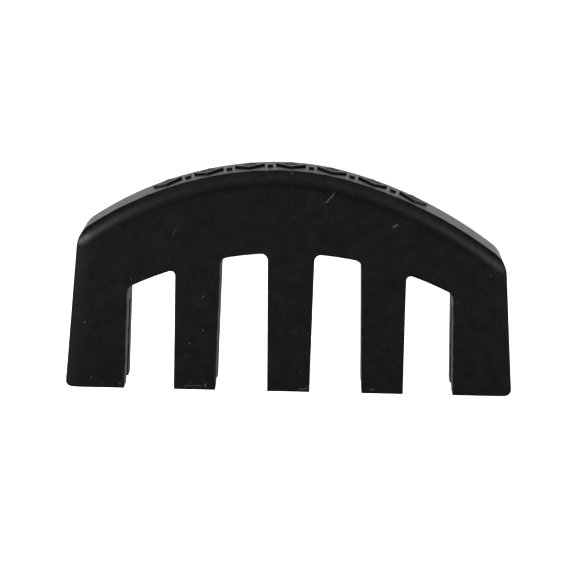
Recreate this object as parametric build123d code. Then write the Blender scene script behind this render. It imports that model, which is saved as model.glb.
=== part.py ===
from build123d import *
import math
import os

# A comb mute for the bridge of a violin: one rubber moulding shot around one cast metal weight.
# X runs across the strings, Y through the thickness with the face at -Y, and Z is up.
# The origin is on the plane of the feet, under the middle. Lengths are in millimetres, angles in degrees.

# Outer form
foot_width = 56.0            # across the outer corners of the two outer feet
thickness = 12.5             # at the feet
face_draft = 1.0             # front and back lean in towards the crown, so the moulding leaves its mould
flank_draft = 3.8            # each outer flank leans in towards the crown
crown_radius = 34.0          # of the arc over the apex
crown_height = 27.75         # apex of the crown above the feet
crown_shift = -1.57          # the crown is higher over the low strings, as the bridge is
crown_reach_left = 3.0       # tilt at which the apex arc gives way to the flatter left arc
crown_reach_right = 14.5     # and to the right one
crown_radius_left = 43.2
crown_radius_right = 54.5
shoulder_radius = 3.4
rim_width = 2.3              # the rounding between the crown and each face, measured down the face
rim_radius = 3.3             # its radius; it stops at a crisp edge with the crown
rim_fade = 12.0              # tilt at which the rounding runs out straight into the face
flank_bevel_width = 2.5      # the shallow bevel of each face along the flanks
flank_bevel_depth = 0.47
foot_round = 0.9             # outer corner of each outer foot
foot_edge = 0.25             # the other foot corners

# Prongs and string slots; half widths are measured at gauge_height above the feet
gauge_height = 7.0
middle_half = 2.77
inner_near = 9.0             # inner prong, flank nearer to the middle
inner_far = 14.4             # inner prong, flank further from the middle
outer_near = 20.45           # outer prong, flank that faces the slot
middle_draft = 0.9
inner_near_draft = 1.25
inner_far_draft = 0.25
outer_near_draft = 1.0
ceiling_radius = 46.0
ceiling_height = 17.45
slot_corner_deep = 0.6       # corner of a slot's ceiling nearer to the middle
slot_corner_shallow = 1.1    # and further from the middle

# Bridge slit
slit_half_length = 22.3      # it ends as a pocket in each outer prong
slit_width_mouth = 3.4
slit_width_roof = 2.5
slit_roof_radius = 42.0
slit_roof_height = 15.6
slit_back = 0.4              # the slit lies a little behind the middle of the thickness
lead_in_height = 0.9
lead_in_width = 4.6

# Metal core, sealed in the crown
core_cover_top = 2.0
core_cover_below = 1.7
core_cover_end = 2.3
core_thickness = 8.0
core_corner = 1.2
key_hole_radius = 1.6        # rubber runs through these holes and locks the core
key_hole_depth = 3.1         # of their centres below the top of the core
key_hole_angles = (-17.0, 0.0, 17.0)

# Raised ornament on the crown: a row of lozenges with a stud in each, and a bar between neighbours
relief_height = 0.3
lozenge_count = 7
lozenge_pitch = 5.15
lozenge_shift = -0.3
lozenge_length = 3.8
lozenge_depth = 5.2
stroke = 0.7
stud_radius = 0.5
bar_depth = 2.6

# Worked out from the above
crown_centre = crown_height - crown_radius
ceiling_centre = ceiling_height - ceiling_radius
slit_roof_centre = slit_roof_height - slit_roof_radius
beyond = 30.0                # clear of the whole part
side_plane = Plane(origin=(0, 0, 0), x_dir=(0, 1, 0), z_dir=(1, 0, 0))


def lean(draft):
    """Run per unit of height of a surface with this draft."""
    return math.tan(math.radians(draft))


def flank(half_at_gauge, draft, z):
    """Distance from the middle of a prong's flank at height z; a positive draft widens it upwards."""
    return half_at_gauge + (z - gauge_height) * lean(draft)


def face_polygon(plane, points):
    """A face with straight edges, from points in the plane."""
    return plane * make_face(Polyline(*points, close=True))


def front_polygon(points):
    """A face in the XZ plane from (x, z) points, wound so that its local axes are X and Z."""
    return make_face(Polyline(*points, close=True))


def disc(centre_x, centre_z, radius):
    return Pos(centre_x, centre_z) * Circle(radius)


def string_slot(near, near_draft, far, far_draft, side):
    """One string slot in front view, open below the feet; side is -1 left of the middle, 1 right."""
    low = -2.0
    high = ceiling_height + 2.0
    wedge = front_polygon([
        (side * flank(near, near_draft, low), low),
        (side * flank(far, far_draft, low), low),
        (side * flank(far, far_draft, high), high),
        (side * flank(near, near_draft, high), high),
    ])
    slot = wedge & disc(0, ceiling_centre, ceiling_radius)
    upper = slot.vertices().filter_by(lambda v: v.Y > gauge_height).sort_by(lambda v: abs(v.X))
    slot = fillet(upper[0], slot_corner_deep)
    far_corner = slot.vertices().filter_by(lambda v: v.Y > gauge_height).sort_by(lambda v: abs(v.X))[-1]
    return fillet(far_corner, slot_corner_shallow)


def direction(tilt):
    """Unit (x, z) at a tilt from vertical, positive to the right."""
    return math.sin(math.radians(tilt)), math.cos(math.radians(tilt))


def crown_arc(tilt):
    """Centre and radius of the arc that the crown follows at this tilt."""
    if tilt < -crown_reach_left:
        joint, radius = -crown_reach_left, crown_radius_left
    elif tilt > crown_reach_right:
        joint, radius = crown_reach_right, crown_radius_right
    else:
        return crown_shift, crown_centre, crown_radius
    across, up = direction(joint)
    return crown_shift - across * (radius - crown_radius), crown_centre - up * (radius - crown_radius), radius


def crown_point(tilt, grow=0.0):
    """Point (x, z) of the crown, moved outwards by grow."""
    centre_x, centre_z, radius = crown_arc(tilt)
    across, up = direction(tilt)
    return centre_x + across * (radius + grow), centre_z + up * (radius + grow)


def crown_region(grow=0.0):
    """Everything under the crown in front view, with the crown moved outwards by grow."""
    wide = 50.0
    joints = (wide, crown_reach_right, -crown_reach_left, -wide)
    hair = 0.0001
    arcs = []
    for first, last in zip(joints, joints[1:]):
        start = arcs[-1] @ 1 if arcs else crown_point(first, grow)
        middle = crown_point((first + last) / 2, grow)
        arcs.append(ThreePointArc(start, middle, crown_point(last + hair, grow)))
    right, left = arcs[0] @ 0, arcs[-1] @ 1
    closing = Polyline(left, (left.X, -beyond), (right.X, -beyond), right)
    return make_face(arcs + [closing])


def front_outline():
    """The comb in front view: crown, shoulders, five prongs and four slots."""
    half = foot_width / 2
    top = half - beyond * lean(flank_draft)
    trapezium = front_polygon([(-half, 0), (half, 0), (top, beyond), (-top, beyond)])
    outline = trapezium & crown_region()
    shoulders = outline.vertices().filter_by(lambda v: v.Y > gauge_height and abs(v.X) > outer_near)
    outline = fillet(shoulders, shoulder_radius)
    for side in (-1, 1):
        outline -= string_slot(middle_half, middle_draft, inner_near, -inner_near_draft, side)
        outline -= string_slot(inner_far, inner_far_draft, outer_near, -outer_near_draft, side)
    feet = outline.vertices().filter_by(lambda v: abs(v.Y) < 0.001)
    outer_feet = feet.filter_by(lambda v: abs(v.X) > half - 0.001)
    outline = fillet(outer_feet, foot_round)
    feet = outline.vertices().filter_by(lambda v: abs(v.Y) < 0.001)
    inner_feet = feet.filter_by(lambda v: abs(v.X) < outer_near + 1)
    return fillet(inner_feet, foot_edge)


def thickness_profile():
    """The drafted slab that gives the front and back faces."""
    low_half = thickness / 2
    high_half = low_half - beyond * lean(face_draft)
    side = face_polygon(side_plane, [(-low_half, 0), (low_half, 0), (high_half, beyond), (-high_half, beyond)])
    return extrude(side, amount=beyond, both=True)


def flank_bevel(side, face):
    """Plane of the shallow bevel between one flank and one face, pointing outwards."""
    inner = Vector(side * (foot_width / 2 - flank_bevel_width), face * thickness / 2, 0)
    along_flank = Vector(-side * lean(flank_draft), -face * lean(face_draft), 1)
    across = Vector(side * flank_bevel_width, -face * flank_bevel_depth, 0)
    return Plane(origin=inner, z_dir=across.cross(along_flank) * -side * face)


def crown_wheel(tilt):
    """A wheel whose rim is the crown's arc at this tilt, with the rounding of both faces turned on it."""
    centre_x, centre_z, radius = crown_arc(tilt)
    flat_half = thickness / 2 - crown_height * lean(face_draft)
    hub = Plane(origin=(centre_x, 0, centre_z), x_dir=(0, 1, 0), z_dir=(1, 0, 0))
    round_y = flat_half - rim_radius
    round_z = radius - rim_width
    steep = math.degrees(math.asin(rim_width / rim_radius))

    def rim_point(side, angle):
        across, up = direction(angle)
        return side * (round_y + rim_radius * up), round_z + rim_radius * across

    reach = 4.0
    outer_z = rim_point(1, rim_fade)[1] - reach
    outer_y = rim_point(1, rim_fade)[0] + reach * lean(rim_fade)
    right_arc = ThreePointArc(*[rim_point(1, angle) for angle in (rim_fade, (rim_fade + steep) / 2, steep)])
    left_arc = ThreePointArc(*[rim_point(-1, angle) for angle in (steep, (rim_fade + steep) / 2, rim_fade)])
    rim = Line(right_arc @ 1, left_arc @ 0)
    body = Polyline(left_arc @ 1, (-outer_y, outer_z), (-outer_y, 0), (outer_y, 0), (outer_y, outer_z), right_arc @ 0)
    profile = hub * make_face([right_arc, rim, left_arc, body])
    return revolve(profile, Axis((centre_x, 0, centre_z), (0, 1, 0)), 360)


def crown_body():
    """The three wheels of the crown, each kept where its arc rules."""
    pieces = []
    far = 90.0
    for first, last in ((-far, -crown_reach_left), (-crown_reach_left, crown_reach_right), (crown_reach_right, far)):
        corners = [(crown_shift, crown_centre)]
        for tilt, length in ((first, far), ((first + last) / 2, 2 * far), (last, far)):
            across, up = direction(tilt)
            corners.append((crown_shift + across * length, crown_centre + up * length))
        wedge = through_y(front_polygon(corners), thickness)
        pieces.append(crown_wheel((first + last) / 2) & wedge)
    return pieces[0] + pieces[1] + pieces[2]


def through_y(sketch, half_depth):
    """Front-view sketch made solid through the thickness, half_depth each way from the middle."""
    return extrude(Plane.XZ * sketch, amount=half_depth, both=True)


def bridge_slit():
    """The blade-shaped space that goes over the bridge: lead-in, drafted walls and an arched roof."""
    mouth = slit_width_mouth / 2
    roof = slit_width_roof / 2
    half_lead_in = lead_in_width / 2
    blade = face_polygon(side_plane, [
        (slit_back - half_lead_in, 0),
        (slit_back - mouth, lead_in_height),
        (slit_back - roof, slit_roof_height),
        (slit_back + roof, slit_roof_height),
        (slit_back + mouth, lead_in_height),
        (slit_back + half_lead_in, 0),
    ])
    roof_roll = through_y(disc(0, slit_roof_centre, slit_roof_radius), thickness)
    return extrude(blade, amount=slit_half_length, both=True) & roof_roll


def relief():
    """The raised ornament: pattern in plan, kept only as a thin layer over the crown."""
    half_length = lozenge_length / 2
    half_depth = lozenge_depth / 2
    shrink = 1 - stroke / (half_length * half_depth / math.hypot(half_length, half_depth))
    lozenge = front_polygon([(-half_length, 0), (0, -half_depth), (half_length, 0), (0, half_depth)])
    ring = lozenge - scale(lozenge, by=shrink)
    motif = ring + Circle(stud_radius)
    bar = Rectangle(stroke, bar_depth)
    places = [lozenge_shift + (i - (lozenge_count - 1) / 2) * lozenge_pitch for i in range(lozenge_count)]
    pattern = [Pos(x, 0) * motif for x in places]
    pattern += [Pos(x + lozenge_pitch / 2, 0) * bar for x in places[:-1]]
    layer = through_y(crown_region(relief_height) - crown_region(-relief_height), thickness)
    solids = []
    for shape in pattern:
        for face in shape.faces():
            solids.append(extrude(face, amount=beyond + crown_height) & layer)
    return solids


def metal_core():
    """The arched weight, with rounded corners and keying holes."""
    end = foot_width / 2 - core_cover_end
    top = end - beyond * lean(flank_draft)
    sector = front_polygon([(-end, 0), (end, 0), (top, beyond), (-top, beyond)])
    sector &= crown_region(-core_cover_top)
    sector -= disc(0, ceiling_centre, ceiling_radius + core_cover_below)
    sector = fillet(sector.vertices().filter_by(lambda v: abs(v.X) > inner_far), core_corner)
    for angle in key_hole_angles:
        sector -= disc(*crown_point(angle, -core_cover_top - key_hole_depth), key_hole_radius)
    return through_y(sector, core_thickness / 2)


def rubber_cover(core):
    """The moulding: comb outline, draft, bevelled crown, ornament, slit, and the core's place inside."""
    body = through_y(front_outline(), thickness) & thickness_profile()
    body &= crown_body()
    for side in (-1, 1):
        for face in (-1, 1):
            body = split(body, bisect_by=flank_bevel(side, face), keep=Keep.BOTTOM)
    for solid in relief():
        body += solid
    body -= bridge_slit()
    return body - core


os.makedirs("parts", exist_ok=True)
core_solid = metal_core()
export_step(core_solid, "parts/metal_core.step")
export_step(rubber_cover(core_solid), "parts/rubber_cover.step")
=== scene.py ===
import math

import bmesh
import bpy
from mathutils import Matrix, Vector


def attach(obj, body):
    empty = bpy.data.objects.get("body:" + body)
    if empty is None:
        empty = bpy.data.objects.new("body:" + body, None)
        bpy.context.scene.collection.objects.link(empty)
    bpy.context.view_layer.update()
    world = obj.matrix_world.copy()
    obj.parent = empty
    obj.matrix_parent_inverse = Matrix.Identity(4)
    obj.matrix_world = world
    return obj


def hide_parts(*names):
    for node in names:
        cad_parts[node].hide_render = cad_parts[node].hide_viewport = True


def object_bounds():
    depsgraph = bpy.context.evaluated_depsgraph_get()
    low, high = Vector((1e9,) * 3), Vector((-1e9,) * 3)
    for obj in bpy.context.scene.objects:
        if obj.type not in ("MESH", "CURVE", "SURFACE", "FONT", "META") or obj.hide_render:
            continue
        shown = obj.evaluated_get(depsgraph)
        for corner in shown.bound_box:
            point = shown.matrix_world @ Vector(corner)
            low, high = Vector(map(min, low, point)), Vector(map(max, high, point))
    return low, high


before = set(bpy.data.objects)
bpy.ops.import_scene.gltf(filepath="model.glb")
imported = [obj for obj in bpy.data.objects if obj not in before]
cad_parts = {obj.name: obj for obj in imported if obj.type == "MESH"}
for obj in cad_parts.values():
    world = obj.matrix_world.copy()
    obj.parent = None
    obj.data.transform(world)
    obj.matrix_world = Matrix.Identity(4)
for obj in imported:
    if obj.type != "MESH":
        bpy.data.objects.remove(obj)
cad_low, cad_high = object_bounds()
scene = bpy.context.scene

# Camera
# It looks at the face from a little above and almost square on, from far enough for
# flanks to stay nearly parallel. A slight roll leaves the mute lower on its right.
camera_distance = 0.400
camera_azimuth = math.radians(0.43)
camera_elevation = math.radians(8.65)
camera_roll = math.radians(1.22)
aim_height = 0.01220
aim_side = -0.00035

from_mute = Vector((
    math.sin(camera_azimuth) * math.cos(camera_elevation),
    -math.cos(camera_azimuth) * math.cos(camera_elevation),
    math.sin(camera_elevation),
))
aim = Vector((aim_side, 0, cad_low[2] + aim_height))
bpy.ops.object.camera_add(location=aim + from_mute * camera_distance)
camera = bpy.context.object
camera.name = "camera"
look = from_mute.to_track_quat("Z", "Y").to_matrix()
camera.rotation_euler = (look @ Matrix.Rotation(camera_roll, 3, "Z")).to_euler()
camera.data.lens = 197.3
camera.data.sensor_width = 36.0
camera.data.clip_start = 0.01
scene.camera = camera

# Rubber cover
# The moulding is one piece of black rubber: a comb of five prongs under an arched crown.
# It is modelled in millimetres as the mould was cut: a blank, its rims, slots and a slit.
foot_half = 28.0
thickness_half = 6.25
face_draft = math.tan(math.radians(1.0))
flank_draft = math.radians(3.8)
crown_radius = 34.0
crown_height = 27.75
crown_shift = -1.57
crown_reach = {-1: math.radians(3), 1: math.radians(14.5)}
crown_end_radius = {-1: 43.2, 1: 54.5}
shoulder_radius = 3.4
foot_round = 0.9
below_feet = 5.0
crown_curve_width = 2.3
crown_curve_radius = 3.3
flank_curve_width = 2.5
flank_curve_radius = 6.9
ring_steps = [0.2] * 12 + [0.1]
crown_centre = Vector((crown_shift, 0, crown_height - crown_radius))


def start_edit(piece):
    bpy.ops.object.select_all(action="DESELECT")
    piece.select_set(True)
    bpy.context.view_layer.objects.active = piece
    bpy.ops.object.mode_set(mode="EDIT")
    bpy.ops.mesh.select_all(action="DESELECT")
    return bmesh.from_edit_mesh(piece.data)


def end_edit():
    bpy.ops.object.mode_set(mode="OBJECT")


def pick(shape, kind, test):
    """Selects the vertices, edges or faces that pass the test, and nothing else."""
    bpy.ops.mesh.select_mode(type={"verts": "VERT", "edges": "EDGE", "faces": "FACE"}[kind])
    bpy.ops.mesh.select_all(action="DESELECT")
    for part in getattr(shape, kind):
        part.select_set(bool(test(part)))
    shape.select_flush_mode()
    return shape


def middle(part):
    """Middle of an edge or a face."""
    return sum((v.co for v in part.verts), Vector()) / len(part.verts)


def carve(piece, tool, operation):
    """Boolean of piece with tool, which is used up."""
    bpy.ops.object.select_all(action="DESELECT")
    piece.select_set(True)
    bpy.context.view_layer.objects.active = piece
    modifier = piece.modifiers.new("carve", "BOOLEAN")
    modifier.operation = operation
    modifier.solver = "EXACT"
    modifier.object = tool
    bpy.ops.object.modifier_apply(modifier="carve")
    bpy.data.objects.remove(tool, do_unlink=True)


def crown_arc(side):
    """Centre and radius of the flatter arc that carries the crown on to one shoulder."""
    away = Vector((side * math.sin(crown_reach[side]), 0, math.cos(crown_reach[side])))
    return crown_centre - away * (crown_end_radius[side] - crown_radius), crown_end_radius[side]


def shoulder(side):
    """Centre of the shoulder's rounding, and the crown's tilt from vertical where the two meet."""
    arc_centre, arc_radius = crown_arc(side)
    inward = Vector((-side * math.cos(flank_draft), 0, -math.sin(flank_draft)))
    along = Vector((-side * math.sin(flank_draft), 0, math.cos(flank_draft)))
    start = Vector((side * foot_half, 0, 0)) + inward * shoulder_radius
    half_b = (start - arc_centre).dot(along)
    gap = (start - arc_centre).length_squared - (arc_radius - shoulder_radius) ** 2
    ball = start + along * (math.sqrt(half_b ** 2 - gap) - half_b)
    return ball, math.atan2(side * (ball.x - arc_centre.x), ball.z - arc_centre.z)


shoulders = {side: shoulder(side) for side in (-1, 1)}


def face_at(height):
    """Distance of the flat front or back face from the middle of the thickness, at a height."""
    return thickness_half - height * face_draft


def arc_points(centre, radius, side, first, last, step):
    """Points along an arc, from one tilt to another, without the last."""
    count = max(2, round(abs(last - first) * radius / step))
    tilts = [first + (last - first) * i / count for i in range(count)]
    return [centre + Vector((side * math.sin(tilt), 0, math.cos(tilt))) * radius for tilt in tilts]


def half_outline(side):
    """Outline of one half, from below the foot up to the middle of the crown."""
    ball, meeting = shoulders[side]
    arc_centre, arc_radius = crown_arc(side)
    foot = Vector((side * (foot_half + below_feet * math.tan(flank_draft)), 0, -below_feet))
    points = [foot]
    points += arc_points(ball, shoulder_radius, side, math.pi / 2 - flank_draft, meeting, 0.25)
    points += arc_points(arc_centre, arc_radius, side, meeting, crown_reach[side], 0.6)
    return points + arc_points(crown_centre, crown_radius, side, crown_reach[side], 0, 0.6)


def blank_body():
    """Disc drawn out to the comb's outline, with drafted front and back."""
    right, left = half_outline(1), half_outline(-1)
    outline = right + [crown_centre + Vector((0, 0, crown_radius))] + left[::-1]
    bpy.ops.mesh.primitive_cylinder_add(
        vertices=len(outline), radius=1, depth=2, rotation=(math.radians(90), 0, 0))
    body = bpy.context.object
    bpy.ops.object.transform_apply(location=True, rotation=True, scale=True)
    for vertex in body.data.vertices:
        turn = math.atan2(-vertex.co.x, vertex.co.z) / (2 * math.pi)
        place = outline[round(turn * len(outline)) % len(outline)]
        vertex.co = (place.x, math.copysign(face_at(place.z), vertex.co.y), place.z)
    return body


def smooth_share(value):
    value = min(max(value, 0.0), 1.0)
    return value * value * (3 - 2 * value)


def rim_sink(place, inset):
    """How far the face lies behind its flat plane, at an inset from the outline.

    It is a full rounding along the crown, which fades over the shoulders to a shallow one
    along the flanks.
    """
    side = 1 if place.x > 0 else -1
    ball, meeting = shoulders[side]
    share = 1.0
    if side * (place.x - ball.x) > 0:
        share = smooth_share(math.atan2(place.z - ball.z, side * (place.x - ball.x)) / (math.pi / 2 - meeting))
    crown_left = max(crown_curve_width - inset, 0.0)
    crown = crown_curve_radius - math.sqrt(crown_curve_radius ** 2 - crown_left ** 2)
    flank_left = max(flank_curve_width - inset, 0.0)
    flank = flank_curve_radius - math.sqrt(flank_curve_radius ** 2 - flank_left ** 2)
    return share * crown + (1 - share) * flank


def shape_rims(body):
    """Insets the front and back ring by ring, each ring sunk to the rim's profile."""
    for side in (-1, 1):
        shape = start_edit(body)
        pick(shape, "faces", lambda f: side * f.normal.y > 0.99)
        inset = 0.0
        for ring in [0.0] + ring_steps:
            if ring:
                bpy.ops.mesh.inset(thickness=ring, use_even_offset=True)
            inset += ring
            shape = bmesh.from_edit_mesh(body.data)
            for face in shape.faces:
                if face.select:
                    for vertex in face.verts:
                        vertex.co.y = side * (face_at(vertex.co.z) - rim_sink(vertex.co, inset))
            bmesh.update_edit_mesh(body.data)
        end_edit()


def trim_feet(body):
    """Cuts the blank off at the feet, and rounds its two outer corners by cuts round a quarter circle."""
    start_edit(body)
    bpy.ops.mesh.select_all(action="SELECT")
    bpy.ops.mesh.bisect(plane_co=(0, 0, 0), plane_no=(0, 0, -1), use_fill=True, clear_outer=True)
    for side in (-1, 1):
        hub = Vector((side * (foot_half - foot_round), 0, foot_round))
        for angle in range(15, 90, 15):
            out = Vector((side * math.cos(math.radians(angle)), 0, -math.sin(math.radians(angle))))
            bpy.ops.mesh.select_all(action="SELECT")
            bpy.ops.mesh.bisect(
                plane_co=hub + out * foot_round, plane_no=out, use_fill=True, clear_outer=True)
    end_edit()


# String slots
# Each slot clears one string. Its sides spread downwards and its ceiling is arched.
gauge_height = 7.0
ceiling_radius = 46.0
ceiling_height = 17.45
near_corner_run = 0.85
far_corner_run = 0.78
# Each slot's two sides: half width at the gauge height, then draft in degrees.
middle_slot = (2.77, 0.9, 9.0, -1.25)
outer_slot = (14.4, 0.25, 20.45, -1.0)


def string_slot(near, near_draft, far, far_draft, side):
    """Cutter for one slot, from half widths at the gauge height."""
    low = -2.0
    bpy.ops.mesh.primitive_cube_add(size=1, location=(0.5, 0, 0.5))
    cutter = bpy.context.object
    bpy.ops.object.transform_apply(location=True, rotation=True, scale=True)
    shape = start_edit(cutter)
    pick(shape, "edges", lambda e: middle(e).z > 0.9 and abs(middle(e).x - 0.5) < 0.1)
    bpy.ops.mesh.subdivide(number_cuts=3)
    shape = bmesh.from_edit_mesh(cutter.data)
    for vertex in shape.verts:
        share = vertex.co.x
        top = vertex.co.z > 0.5
        height = ceiling_height if top else low
        for _ in range(4):
            rise = height - gauge_height
            close = near + rise * math.tan(math.radians(near_draft))
            wide = far + rise * math.tan(math.radians(far_draft))
            across = close + (wide - close) * share
            if top:
                height = ceiling_height - ceiling_radius + math.sqrt(ceiling_radius ** 2 - across ** 2)
        vertex.co = (side * across, vertex.co.y * 4 * thickness_half, height)
    bmesh.update_edit_mesh(cutter.data)
    if side < 0:
        bpy.ops.mesh.select_all(action="SELECT")
        bpy.ops.mesh.flip_normals()
    for distance, run in ((near, near_corner_run), (far, far_corner_run)):
        shape = bmesh.from_edit_mesh(cutter.data)
        pick(shape, "edges", lambda e: middle(e).z > gauge_height
             and abs(e.verts[0].co.x - e.verts[1].co.x) < 0.01
             and abs(e.verts[0].co.z - e.verts[1].co.z) < 0.01
             and abs(abs(middle(e).x) - distance) < 0.6)
        bpy.ops.mesh.bevel(offset=run, offset_type="OFFSET", segments=6, profile=0.5)
    end_edit()
    return cutter


# Bridge slit
# A blade-shaped space along the prongs, open below, with a lead-in and an arched roof.
slit_half_length = 22.3
slit_half_mouth = 1.7
slit_half_roof = 1.25
slit_roof_radius = 42.0
slit_roof_height = 15.6
slit_back = 0.4
lead_in_height = 0.9
lead_in_half = 2.3


def bridge_slit():
    """Cutter for the slit."""
    bpy.ops.mesh.primitive_cube_add(size=1, location=(0, 0, 0.5))
    cutter = bpy.context.object
    cutter.scale = (2 * slit_half_length, 2, 1)
    bpy.ops.object.transform_apply(location=True, rotation=True, scale=True)
    shape = start_edit(cutter)
    pick(shape, "edges", lambda e: abs(middle(e).x) < 0.1)
    bpy.ops.mesh.subdivide(number_cuts=23)
    shape = bmesh.from_edit_mesh(cutter.data)
    pick(shape, "edges", lambda e: abs(e.verts[0].co.z - e.verts[1].co.z) > 0.5)
    bpy.ops.mesh.subdivide(number_cuts=1)
    shape = bmesh.from_edit_mesh(cutter.data)
    for vertex in shape.verts:
        side = 1 if vertex.co.y > 0 else -1
        if vertex.co.z > 0.9:
            height = slit_roof_height - slit_roof_radius + math.sqrt(slit_roof_radius ** 2 - vertex.co.x ** 2)
        elif vertex.co.z > 0.1:
            height = lead_in_height
        else:
            height = -lead_in_height
        share = (height - lead_in_height) / (slit_roof_height - lead_in_height)
        half = slit_half_mouth + (slit_half_roof - slit_half_mouth) * share
        if height < 0:
            half = slit_half_mouth + 2 * (lead_in_half - slit_half_mouth)
        vertex.co.y = slit_back + side * half
        vertex.co.z = height
    bmesh.update_edit_mesh(cutter.data)
    end_edit()
    return cutter


cover = blank_body()
cover.name = "rubber_cover_moulding"
shape_rims(cover)
trim_feet(cover)
for side in (-1, 1):
    carve(cover, string_slot(*middle_slot, side), "DIFFERENCE")
    carve(cover, string_slot(*outer_slot, side), "DIFFERENCE")
carve(cover, bridge_slit(), "DIFFERENCE")


# Raised ornament on the crown
# A row of lozenges, each with a stud, and a bar between neighbours. The mould cuts it
# shallow, so every edge is soft.
lozenge_count = 7
lozenge_pitch = 5.15
ornament_shift = -0.3
lozenge_half_length = 1.9
lozenge_half_depth = 2.6
stroke = 0.7
relief_height = 0.3
relief_edge = 0.09
stud_radius = 0.5
bar_depth = 2.6


def soften(piece, test, offset, segments):
    """Rounds the edges that pass the test."""
    shape = start_edit(piece)
    pick(shape, "edges", test)
    bpy.ops.mesh.bevel(
        offset=offset, offset_type="OFFSET", segments=segments, profile=0.5, clamp_overlap=True)
    rounded = [face.index for face in bmesh.from_edit_mesh(piece.data).faces if face.select]
    end_edit()
    return rounded


def set_on_crown(piece, x):
    """Turns a piece made at the origin to the crown's slope, and puts it there."""
    side = 1 if x > crown_shift else -1
    arc_centre, arc_radius = crown_centre, crown_radius
    if abs(x - crown_shift) > crown_radius * math.sin(crown_reach[side]):
        arc_centre, arc_radius = crown_arc(side)
    slope = math.asin((x - arc_centre.x) / arc_radius)
    piece.rotation_euler = (0, slope, 0)
    piece.location = (x, 0, arc_centre.z + arc_radius * math.cos(slope))
    bpy.ops.object.select_all(action="DESELECT")
    piece.select_set(True)
    bpy.context.view_layer.objects.active = piece
    bpy.ops.object.transform_apply(location=True, rotation=True, scale=True)
    return piece


def lozenge():
    bpy.ops.mesh.primitive_cylinder_add(vertices=4, radius=1, depth=2 * relief_height)
    ring = bpy.context.object
    ring.scale = (lozenge_half_length, lozenge_half_depth, 1)
    bpy.ops.object.transform_apply(location=True, rotation=True, scale=True)
    shape = start_edit(ring)
    pick(shape, "faces", lambda f: abs(f.normal.z) > 0.9)
    bpy.ops.mesh.inset(thickness=stroke, use_even_offset=True)
    bpy.ops.mesh.bridge_edge_loops()
    end_edit()
    soften(ring, lambda e: middle(e).z > 0.9 * relief_height and e.calc_face_angle(0) > 0.5, relief_edge, 2)
    return ring


def stud():
    bpy.ops.mesh.primitive_cylinder_add(vertices=20, radius=stud_radius, depth=2 * relief_height)
    knob = bpy.context.object
    soften(knob, lambda e: middle(e).z > 0.9 * relief_height and e.calc_face_angle(0) > 0.5, relief_edge, 2)
    return knob


def bar():
    bpy.ops.mesh.primitive_cube_add(size=1)
    rail = bpy.context.object
    rail.scale = (stroke, bar_depth, 2 * relief_height)
    bpy.ops.object.transform_apply(location=True, rotation=True, scale=True)
    soften(rail, lambda e: middle(e).z > 0.9 * relief_height, relief_edge, 2)
    return rail


ornament = []
for i in range(lozenge_count):
    x = (i - (lozenge_count - 1) / 2) * lozenge_pitch + ornament_shift
    ornament += [set_on_crown(lozenge(), x), set_on_crown(stud(), x)]
    if i < lozenge_count - 1:
        ornament.append(set_on_crown(bar(), x + lozenge_pitch / 2))

# Edges of the moulding
# The mould leaves a small radius on every edge of the rubber. The ornament is then joined on,
# and the whole is brought from millimetres to metres.
edge_radius = 0.15
edge_angle = math.radians(24)
smooth_angle = math.radians(33)

start_edit(cover)
bpy.ops.mesh.select_all(action="SELECT")
bpy.ops.mesh.remove_doubles(threshold=0.02)
end_edit()
rounded = soften(cover, lambda e: e.calc_face_angle(0) > edge_angle, edge_radius, 3)
worn = cover.data.attributes.new("worn_edge", "FLOAT", "FACE")
for index in rounded:
    worn.data[index].value = 1.0
cut = cover.data.attributes.new("slot_wall", "FLOAT", "FACE")
for wall in cover.data.polygons:
    inside = abs(wall.normal.x) > 0.9 and abs(wall.center.x) < 23
    cut.data[wall.index].value = 1.0 if inside else 0.0

bpy.ops.object.select_all(action="DESELECT")
for piece in ornament:
    piece.select_set(True)
bpy.context.view_layer.objects.active = ornament[0]
bpy.ops.object.join()
carve(cover, bpy.context.object, "UNION")

cover.scale = (0.001, 0.001, 0.001)
bpy.ops.object.select_all(action="DESELECT")
cover.select_set(True)
bpy.context.view_layer.objects.active = cover
bpy.ops.object.transform_apply(location=True, rotation=True, scale=True)

bpy.ops.object.shade_smooth_by_angle(angle=smooth_angle)
modifier = cover.modifiers.new("even_shading", "WEIGHTED_NORMAL")
modifier.weight = 100
modifier.keep_sharp = True
bpy.ops.object.modifier_apply(modifier="even_shading")

# Finish of the rubber
# Carbon-black rubber straight from a lightly blasted mould: nearly black, a soft sheen, a
# faint mottle, a little dust, and a few short marks from use.


def link_in(tree, node, **sources):
    """Links or sets a node's inputs by name, with spaces written as underscores."""
    for name, source in sources.items():
        socket = node.inputs[name.replace("_", " ")]
        if isinstance(source, bpy.types.NodeSocket):
            tree.links.new(source, socket)
        else:
            socket.default_value = source
    return node


def math_node(tree, operation, first, second=0.0, clamp=False):
    node = tree.nodes.new("ShaderNodeMath")
    node.operation = operation
    node.use_clamp = clamp
    for socket, value in zip(node.inputs, (first, second)):
        if isinstance(value, bpy.types.NodeSocket):
            tree.links.new(value, socket)
        else:
            socket.default_value = value
    return node.outputs["Value"]


def step_node(tree, value, low, high, to_low=0.0, to_high=1.0):
    """Smooth step from low to high."""
    node = tree.nodes.new("ShaderNodeMapRange")
    node.interpolation_type = "SMOOTHSTEP"
    link_in(tree, node, Value=value, From_Min=low, From_Max=high, To_Min=to_low, To_Max=to_high)
    return node.outputs["Result"]


def noise_node(tree, place, scale, detail=3.0, roughness=0.55):
    node = tree.nodes.new("ShaderNodeTexNoise")
    link_in(tree, node, Vector=place, Scale=scale, Detail=detail, Roughness=roughness)
    return node.outputs["Fac"]


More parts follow.
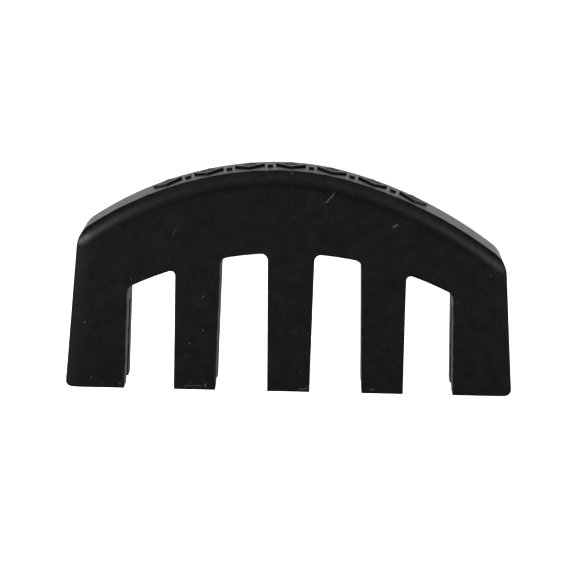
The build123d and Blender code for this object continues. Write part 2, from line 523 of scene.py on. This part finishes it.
def cast_skin():
    """Shared effect: the mottle, grain height and dust of a moulded or cast surface, in millimetres."""
    tree = bpy.data.node_groups.new("cast_skin", "ShaderNodeTree")
    face = tree.interface
    face.new_socket("Place", in_out="INPUT", socket_type="NodeSocketVector")
    sizes = (("Mottle Size", 1.2), ("Grain Size", 0.12), ("Dust Spacing", 3.0), ("Dust Size", 0.07))
    for name, value in sizes:
        face.new_socket(name, in_out="INPUT", socket_type="NodeSocketFloat").default_value = value
    for name in ("Mottle", "Grain", "Dust"):
        face.new_socket(name, in_out="OUTPUT", socket_type="NodeSocketFloat")
    inlet = tree.nodes.new("NodeGroupInput").outputs
    outlet = tree.nodes.new("NodeGroupOutput")
    mottle_scale = math_node(tree, "DIVIDE", 1.0, inlet["Mottle Size"])
    grain_scale = math_node(tree, "DIVIDE", 1.0, inlet["Grain Size"])
    coarse = noise_node(tree, inlet["Place"], mottle_scale, 4.0, 0.6)
    fine = noise_node(tree, inlet["Place"], grain_scale, 2.0, 0.5)
    cells = tree.nodes.new("ShaderNodeTexVoronoi")
    link_in(tree, cells, Vector=inlet["Place"], Scale=math_node(tree, "DIVIDE", 1.0, inlet["Dust Spacing"]),
            Randomness=1.0)
    tint = tree.nodes.new("ShaderNodeSeparateColor")
    tree.links.new(cells.outputs["Color"], tint.inputs["Color"])
    reach = math_node(tree, "MULTIPLY", cells.outputs["Distance"], inlet["Dust Spacing"])
    wide = math_node(tree, "MULTIPLY", inlet["Dust Size"], math_node(tree, "ADD", 0.5, tint.outputs["Red"]))
    speck = math_node(tree, "SUBTRACT", 1.0, math_node(tree, "DIVIDE", reach, wide), clamp=True)
    kept = math_node(tree, "GREATER_THAN", tint.outputs["Green"], 0.35)
    tree.links.new(coarse, outlet.inputs["Mottle"])
    tree.links.new(fine, outlet.inputs["Grain"])
    tree.links.new(math_node(tree, "MULTIPLY", speck, kept), outlet.inputs["Dust"])
    return tree


def scratch(tree, place, middle_at, lean_by, length, width):
    """Mask of one scratch on the front: a thin spindle at a middle (x, z), leaning from level."""
    turn = tree.nodes.new("ShaderNodeMapping")
    turn.vector_type = "TEXTURE"
    turn.inputs["Location"].default_value = (middle_at[0], -6, middle_at[1])
    turn.inputs["Rotation"].default_value = (0, -math.radians(lean_by), 0)
    tree.links.new(place, turn.inputs["Vector"])
    apart = tree.nodes.new("ShaderNodeSeparateXYZ")
    tree.links.new(turn.outputs["Vector"], apart.inputs["Vector"])
    off_middle = math_node(tree, "ABSOLUTE", apart.outputs["X"])
    off_line = math_node(tree, "ABSOLUTE", apart.outputs["Z"])
    along = step_node(tree, off_middle, 0.3 * length, 0.5 * length, 1.0, 0.0)
    beside = step_node(tree, off_line, 0.25 * width, width, 1.0, 0.0)
    front = math_node(tree, "LESS_THAN", apart.outputs["Y"], 2.0)
    return math_node(tree, "MULTIPLY", math_node(tree, "MULTIPLY", along, beside), front)


def new_finish(name):
    """A material whose shader is ready, with object coordinates in millimetres."""
    finish = bpy.data.materials.new(name)
    finish.use_nodes = True
    tree = finish.node_tree
    shader = tree.nodes["Principled BSDF"]
    place = tree.nodes.new("ShaderNodeMapping")
    place.inputs["Scale"].default_value = (1000, 1000, 1000)
    tree.links.new(tree.nodes.new("ShaderNodeTexCoord").outputs["Object"], place.inputs["Vector"])
    return finish, tree, shader, place.outputs["Vector"]


def tone(tree, share, low, high):
    """Colour between two greys by share."""
    ramp = tree.nodes.new("ShaderNodeMix")
    ramp.data_type = "RGBA"
    ramp.inputs["A"].default_value = (*low, 1)
    ramp.inputs["B"].default_value = (*high, 1)
    tree.links.new(share, ramp.inputs["Factor"])
    return ramp.outputs["Result"]


skin_group = cast_skin()
rubber, tree, shader, place = new_finish("black_rubber")
skin = tree.nodes.new("ShaderNodeGroup")
skin.node_tree = skin_group
link_in(tree, skin, Place=place, Mottle_Size=1.3, Grain_Size=0.22, Dust_Spacing=1.5, Dust_Size=0.12)
mottle_and_grain = math_node(tree, "ADD", skin.outputs["Mottle"], skin.outputs["Grain"])
mottle = step_node(tree, math_node(tree, "MULTIPLY", mottle_and_grain, 0.5), 0.38, 0.62)
worn = tree.nodes.new("ShaderNodeAttribute")
worn.attribute_name = "worn_edge"
patches = step_node(tree, skin.outputs["Mottle"], 0.4, 0.6)
worn_share = math_node(tree, "MULTIPLY", worn.outputs["Fac"], patches)
dust = math_node(tree, "MULTIPLY", skin.outputs["Dust"], 0.45)
mark = math_node(tree, "MAXIMUM", dust, math_node(tree, "MULTIPLY", worn_share, 0.3))
# Each mark: its middle (x, z) and lean in degrees, then length, width and strength.
marks = (
    ((4.7, 24.5), 48, 2.0, 0.07, 0.5),
    ((12.9, 21.2), 30, 0.9, 0.20, 0.25),
    ((-14.6, 19.9), 50, 1.0, 0.05, 0.25),
    ((-11.9, 0.5), 2, 2.6, 0.10, 0.18),
    ((-10.4, 0.6), 75, 0.5, 0.12, 0.35),
    ((1.9, 0.4), 4, 1.4, 0.10, 0.25),
    ((10.5, 0.5), 10, 0.6, 0.10, 0.3),
)
for middle_at, lean_by, length, width, strength in marks:
    line = math_node(tree, "MULTIPLY", scratch(tree, place, middle_at, lean_by, length, width), strength)
    mark = math_node(tree, "MAXIMUM", mark, line)
body_tone = tone(tree, mottle, (0.0001, 0.0001, 0.0001), (0.0012, 0.0012, 0.0012))
marked = tree.nodes.new("ShaderNodeMix")
marked.data_type = "RGBA"
link_in(tree, marked, Factor=mark)
tree.links.new(body_tone, marked.inputs["A"])
marked.inputs["B"].default_value = (0.05, 0.05, 0.05, 1)
tree.links.new(marked.outputs["Result"], shader.inputs["Base Color"])
wall = tree.nodes.new("ShaderNodeAttribute")
wall.attribute_name = "slot_wall"
sheen = step_node(tree, skin.outputs["Mottle"], 0.3, 0.7, 0.37, 0.31)
tree.links.new(math_node(tree, "ADD", sheen, math_node(tree, "MULTIPLY", wall.outputs["Fac"], 0.30)),
               shader.inputs["Roughness"])
shader.inputs["Specular IOR Level"].default_value = 0.038
bump = tree.nodes.new("ShaderNodeBump")
bump.inputs["Distance"].default_value = 0.00002
bump.inputs["Strength"].default_value = 0.5
tree.links.new(math_node(tree, "ADD", skin.outputs["Grain"], skin.outputs["Mottle"]), bump.inputs["Height"])
tree.links.new(bump.outputs["Normal"], shader.inputs["Normal"])
cover.data.materials.clear()
cover.data.materials.append(rubber)
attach(cover, "root")
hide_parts("rubber_cover")

# Metal core
# The weight is a rough casting, sealed in the rubber, with a dull grey skin that scale and
# handling leave darker in patches. It keeps its exact body, and gets its finish here.
casting, tree, shader, place = new_finish("cast_metal")
skin = tree.nodes.new("ShaderNodeGroup")
skin.node_tree = skin_group
link_in(tree, skin, Place=place, Mottle_Size=2.2, Grain_Size=0.35, Dust_Spacing=2.0, Dust_Size=0.25)
scale_share = step_node(tree, skin.outputs["Mottle"], 0.38, 0.64)
shade = tree.nodes.new("ShaderNodeMix")
shade.data_type = "RGBA"
link_in(tree, shade, Factor=skin.outputs["Dust"])
tree.links.new(tone(tree, scale_share, (0.20, 0.20, 0.21), (0.38, 0.38, 0.39)), shade.inputs["A"])
shade.inputs["B"].default_value = (0.10, 0.09, 0.085, 1)
tree.links.new(shade.outputs["Result"], shader.inputs["Base Color"])
tree.links.new(step_node(tree, skin.outputs["Mottle"], 0.3, 0.7, 0.62, 0.44), shader.inputs["Roughness"])
shader.inputs["Metallic"].default_value = 1.0
bump = tree.nodes.new("ShaderNodeBump")
bump.inputs["Distance"].default_value = 0.00005
bump.inputs["Strength"].default_value = 0.6
tree.links.new(math_node(tree, "ADD", skin.outputs["Grain"], skin.outputs["Mottle"]), bump.inputs["Height"])
tree.links.new(bump.outputs["Normal"], shader.inputs["Normal"])
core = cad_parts["metal_core"]
for slot in core.material_slots:
    slot.material = casting

# Floor and light
# A pale table in a white room: bright behind and above, dim in front, with a soft box on each
# side and two above the front. The lamps cast no shadows, and the table glows a little far
# from the mute, so it stays white all over.
bpy.ops.mesh.primitive_plane_add(size=6, location=(0, 0, cad_low[2]))
floor = bpy.context.object
floor.name = "floor"
paper = bpy.data.materials.new("paper")
paper.use_nodes = True
paper.node_tree.nodes["Principled BSDF"].inputs["Base Color"].default_value = (0.95, 0.95, 0.95, 1)
paper.node_tree.nodes["Principled BSDF"].inputs["Roughness"].default_value = 0.9
paper.node_tree.nodes["Principled BSDF"].inputs["Specular IOR Level"].default_value = 0.1
backdrop = paper.node_tree
distance = backdrop.nodes.new("ShaderNodeVectorMath")
distance.operation = "LENGTH"
backdrop.links.new(backdrop.nodes.new("ShaderNodeTexCoord").outputs["Object"], distance.inputs[0])
far = step_node(backdrop, distance.outputs["Value"], 0.10, 0.45, 0.0, 0.35)
backdrop.nodes["Principled BSDF"].inputs["Emission Color"].default_value = (1, 1, 1, 1)
backdrop.links.new(far, backdrop.nodes["Principled BSDF"].inputs["Emission Strength"])
floor.data.materials.append(paper)

world = bpy.data.worlds.new("studio")
world.use_nodes = True
room = world.node_tree
direction = room.nodes.new("ShaderNodeSeparateXYZ")
room.links.new(room.nodes.new("ShaderNodeTexCoord").outputs["Generated"], direction.inputs["Vector"])
horizon = step_node(room, direction.outputs["Y"], -0.6, 0.6, 0.06, 1.0)
above = step_node(room, direction.outputs["Z"], 0.1, 0.8)
glow = math_node(room, "ADD", horizon, math_node(room, "MULTIPLY", above, 0.1))
room.nodes["Background"].inputs["Color"].default_value = (1, 1, 1, 1)
room.links.new(glow, room.nodes["Background"].inputs["Strength"])
scene.world = world


def soft_box(name, toward, wide, tall, watts):
    """Rectangular lamp at half a metre in a direction from the mute, facing it."""
    spot = Vector(toward).normalized() * 0.5
    bpy.ops.object.light_add(type="AREA", location=spot)
    lamp = bpy.context.object
    lamp.name = name
    lamp.rotation_euler = spot.to_track_quat("Z", "Y").to_euler()
    lamp.data.shape = "RECTANGLE"
    lamp.data.size = wide
    lamp.data.size_y = tall
    lamp.data.energy = watts
    lamp.data.use_shadow = False
    return lamp


soft_box("left_soft_box", (-0.64, -0.69, 0.36), 0.10, 0.10, 6.2)
soft_box("right_soft_box", (0.60, -0.70, 0.40), 0.20, 0.16, 2.8)
soft_box("overhead_strip", (0.05, -0.73, 0.68), 0.70, 0.20, 1.6)
soft_box("overhead_box", (0.0, -0.38, 0.92), 0.60, 0.30, 1.5)
scene.view_settings.view_transform = "Standard"
